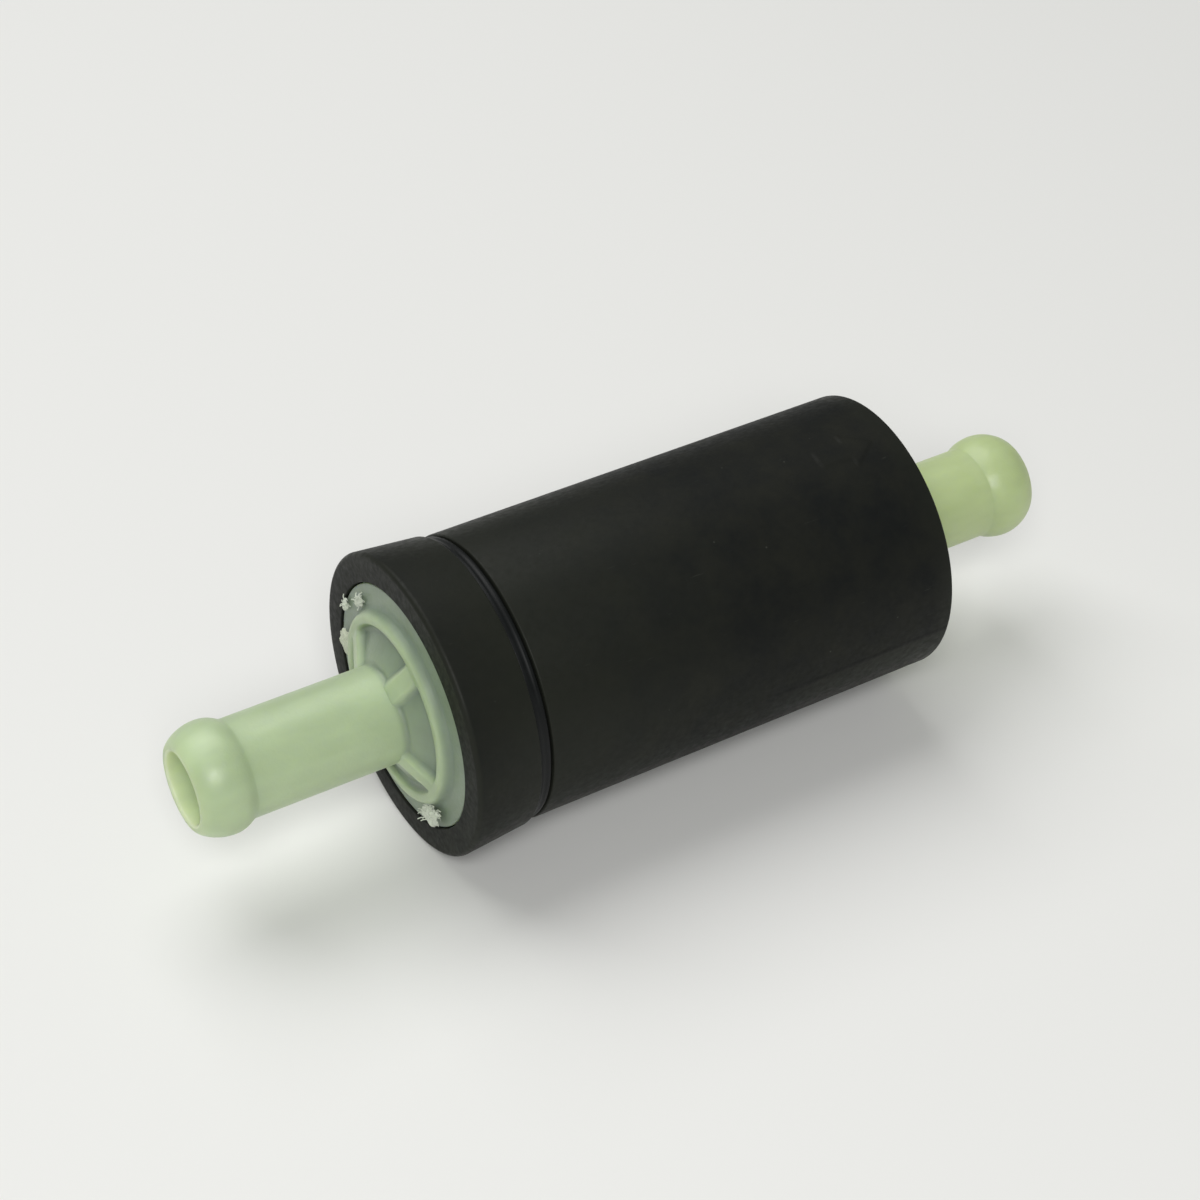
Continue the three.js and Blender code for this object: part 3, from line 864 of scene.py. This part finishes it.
def torn_strip(tree, given):
    """A crumpled strip along an arc on the end face. Noise eats its borders, and loose curls stand
    on it. taper leaves a seventh of its fullness at the borders, half a unit from the middle."""
    taper, toss, firmness = -3.4, 2.4, 0.35
    strip = add(tree, "GeometryNodeMeshGrid",
                {"Size X": 1.0, "Size Y": 1.0, "Vertices X": 110, "Vertices Y": 30})
    here = add(tree, "GeometryNodeInputPosition")
    spot = add(tree, "ShaderNodeSeparateXYZ", {"Vector": here})
    along, across = spot.outputs["X"], spot.outputs["Y"]
    along_squared = add(tree, "ShaderNodeMath", {0: along, 1: along}, operation="MULTIPLY")
    across_squared = add(tree, "ShaderNodeMath", {0: across, 1: across}, operation="MULTIPLY")
    fullness = add(tree, "ShaderNodeMath",
                   {0: along_squared, 1: taper, 2: 1.0}, operation="MULTIPLY_ADD")
    ridge = add(tree, "ShaderNodeMath",
                {0: across_squared, 1: taper, 2: 1.0}, operation="MULTIPLY_ADD")
    dome = add(tree, "ShaderNodeMath", {0: fullness, 1: ridge}, operation="MULTIPLY")
    angle = add(tree, "ShaderNodeMath",
                {0: along, 1: given["Span"], 2: given["Angle"]}, operation="MULTIPLY_ADD")
    width = add(tree, "ShaderNodeMath", {0: given["Width"], 1: fullness}, operation="MULTIPLY")
    radius = add(tree, "ShaderNodeMath",
                 {0: across, 1: width, 2: given["Radius"]}, operation="MULTIPLY_ADD")
    cosine = add(tree, "ShaderNodeMath", {0: angle}, operation="COSINE")
    sine = add(tree, "ShaderNodeMath", {0: angle}, operation="SINE")
    y = add(tree, "ShaderNodeMath", {0: radius, 1: cosine}, operation="MULTIPLY")
    z = add(tree, "ShaderNodeMath", {0: radius, 1: sine}, operation="MULTIPLY")
    lift = add(tree, "ShaderNodeMath", {0: dome, 1: given["Height"]}, operation="MULTIPLY")
    x = add(tree, "ShaderNodeMath", {0: given["Face"], 1: lift}, operation="SUBTRACT")
    bent = add(tree, "ShaderNodeCombineXYZ", {"X": x, "Y": y, "Z": z})
    keep = add(tree, "GeometryNodeStoreNamedAttribute",
               {"Geometry": strip, "Name": "dome", "Value": dome}, data_type="FLOAT", domain="POINT")
    laid = add(tree, "GeometryNodeSetPosition", {"Geometry": keep, "Position": bent})
    crumple = add(tree, "ShaderNodeTexNoise",
                  {"Scale": per(0.9), "Detail": 4.0, "Roughness": 0.65, "W": given["Seed"]},
                  noise_dimensions="4D")
    centred = add(tree, "ShaderNodeVectorMath",
                  {0: crumple.outputs["Color"], 1: (0.62, 0.5, 0.5)}, operation="SUBTRACT")
    throw = add(tree, "ShaderNodeMath", {0: given["Height"], 1: toss}, operation="MULTIPLY")
    offset = add(tree, "ShaderNodeVectorMath", {0: centred, "Scale": throw}, operation="SCALE")
    crumpled = add(tree, "GeometryNodeSetPosition", {"Geometry": laid, "Offset": offset})
    tears = add(tree, "ShaderNodeTexNoise",
                {"Scale": per(0.45), "Detail": 3.0, "Roughness": 0.7, "W": given["Seed"]},
                noise_dimensions="4D")
    middle = add(tree, "GeometryNodeInputNamedAttribute", {"Name": "dome"}, data_type="FLOAT")
    whole = add(tree, "ShaderNodeMath", {0: middle, 1: firmness, 2: tears}, operation="MULTIPLY_ADD")
    gone = add(tree, "FunctionNodeCompare", {0: whole, 1: given["Ragged"]}, operation="LESS_THAN")
    torn = add(tree, "GeometryNodeDeleteGeometry",
               {"Geometry": crumpled, "Selection": gone}, domain="FACE")
    thick = add(tree, "GeometryNodeExtrudeMesh",
                {"Mesh": torn, "Individual": False, "Offset Scale": given["Thickness"]})
    back = add(tree, "GeometryNodeFlipFaces", {"Mesh": torn})
    curl_path = add(tree, "GeometryNodeCurveQuadraticBezier",
                    {"Resolution": 6, "Start": (0, 0, 0), "Middle": (0.3 * MM, 0, 0.2 * MM),
                     "End": (0.1 * MM, 0.2 * MM, 0.45 * MM)})
    curl_section = add(tree, "GeometryNodeCurvePrimitiveCircle",
                       {"Resolution": 5, "Radius": given["Thickness"]})
    curl = add(tree, "GeometryNodeCurveToMesh",
               {"Curve": curl_path, "Profile Curve": curl_section, "Fill Caps": True})
    places = add(tree, "GeometryNodeDistributePointsOnFaces",
                 {"Mesh": torn, "Density": given["Curl density"], "Seed": 3})
    turns = add(tree, "FunctionNodeRandomValue",
                {"Min": (-1.2, -2.2, -3.1), "Max": (1.2, -0.4, 3.1), "Seed": 5},
                data_type="FLOAT_VECTOR")
    sizes = add(tree, "FunctionNodeRandomValue",
                {"Min": 0.4, "Max": 1.3, "Seed": 7}, data_type="FLOAT")
    curls = add(tree, "GeometryNodeInstanceOnPoints",
                {"Points": places, "Instance": curl, "Rotation": turns, "Scale": sizes})
    joined = add(tree, "GeometryNodeJoinGeometry")
    for part in (curls.outputs["Instances"], back.outputs["Mesh"], thick.outputs["Mesh"]):
        tree.links.new(part, joined.inputs["Geometry"])
    return joined


def weld_flash(name, material, angle, span, radius, width, height, face, ragged, curls):
    """Nylon squeezed out of the weld round the plate. Angles are in degrees; ragged is how much
    the tears eat, and curls is the number of loose curls on a square millimetre."""
    return grown(name, torn_strip, material, {
        "Angle": math.radians(angle),
        "Span": math.radians(span),
        "Radius": radius * MM,
        "Width": width * MM,
        "Height": height * MM,
        "Face": (collar_face + face) * MM,
        "Ragged": ragged,
        "Thickness": 0.04 * MM,
        "Curl density": curls * 1e6,
        "Seed": angle,
    })


# ---- build ----

put(housing_can(), "black_nylon", "housing_can")
put(front_collar(), "black_nylon", "front_collar")
put(joint_seal(), "seal_rubber", "joint_seal")
put(inlet_fitting(), "natural_nylon", "inlet_fitting")
put(outlet_fitting(), "natural_nylon", "outlet_fitting")
put(o_ring("inlet_o_ring"), "nitrile_rubber", "inlet_o_ring")
put(o_ring("outlet_o_ring"), "nitrile_rubber", "outlet_o_ring")
put(element_grommet(), "nitrile_rubber", "element_grommet")
put(inlet_end_disc(), "white_nylon", "inlet_end_disc")
put(outlet_end_disc(), "white_nylon", "outlet_end_disc")
put(potting_bead("inlet_potting", 1), "potting_resin", "inlet_potting")
put(potting_bead("outlet_potting", -1), "potting_resin", "outlet_potting")
put(media_core(), "white_nylon", "media_core")
put(filter_media(), "filter_paper", "filter_media")
put(pleat_seam_clip(), "tinplate", "pleat_seam_clip")
put(weld_flash("lower_weld_flash", torn_nylon, angle=235.5, span=25.0, radius=9.05, width=2.0,
               height=0.50, face=-0.05, ragged=0.60, curls=11.0), "natural_nylon")
put(weld_flash("upper_weld_flash", torn_nylon, angle=44.0, span=13.0, radius=8.9, width=1.0,
               height=0.20, face=0.0, ragged=0.64, curls=30.0), "natural_nylon")
put(weld_flash("outer_weld_flash", torn_nylon, angle=25.0, span=10.0, radius=9.9, width=0.9,
               height=0.20, face=0.0, ragged=0.62, curls=25.0), "natural_nylon")
put(weld_flash("side_weld_flash", squeezed_nylon, angle=3.0, span=17.0, radius=8.85, width=1.9,
               height=0.40, face=-0.10, ragged=0.46, curls=0.5), "natural_nylon")


# ---- floor, light and camera ----

def studio():
    reach, z = 3.0, floor_height * MM
    floor_mesh = bpy.data.meshes.new("studio_floor")
    floor_mesh.from_pydata([(-reach, -reach, z), (reach, -reach, z), (reach, reach, z),
                            (-reach, reach, z)], [], [(0, 1, 2, 3)])
    floor = in_scene("studio_floor", floor_mesh)
    material, tree, shader = start_material("pale_paper_floor")[:3]
    feed(tree, shader, {"Base Color": linear("#ecece9"), "Roughness": 0.9, "Specular IOR Level": 0.1})
    floor_mesh.materials.append(material)

    world = bpy.data.worlds.new("soft_room")
    world.use_nodes = True
    feed(world.node_tree, world.node_tree.nodes["Background"],
         {"Color": linear("#f6f8f6"), "Strength": 0.14})
    bpy.context.scene.world = world

    for name, place, width, power in (
        ("overhead_softbox", (-0.07, 0.29, 0.56), 0.55, 2.8),
        ("camera_side_fill", (-0.27, -0.45, 0.475), 0.26, 2.8),
    ):
        light = bpy.data.lights.new(name, "AREA")
        light.size = width
        light.energy = power
        lamp = in_scene(name, light)
        lamp.location = place
        lamp.rotation_euler = (-Vector(place)).to_track_quat("-Z", "Y").to_euler()


def camera():
    azimuth, elevation = math.radians(-30.9), math.radians(38.6)
    distance = 238.1 * MM
    aim = Vector((-4.15, -3.53, 6.53)) * MM
    away = Vector((math.sin(azimuth) * math.cos(elevation), -math.cos(azimuth) * math.cos(elevation),
                   math.sin(elevation)))
    lens = bpy.data.cameras.new("product_camera")
    lens.lens = 90.6
    lens.clip_start = 0.01
    eye = in_scene("product_camera", lens)
    eye.location = aim + away * distance
    eye.rotation_euler = (-away).to_track_quat("-Z", "Y").to_euler()
    bpy.context.scene.camera = eye


studio()
camera()
bpy.context.scene.view_settings.view_transform = "Standard"
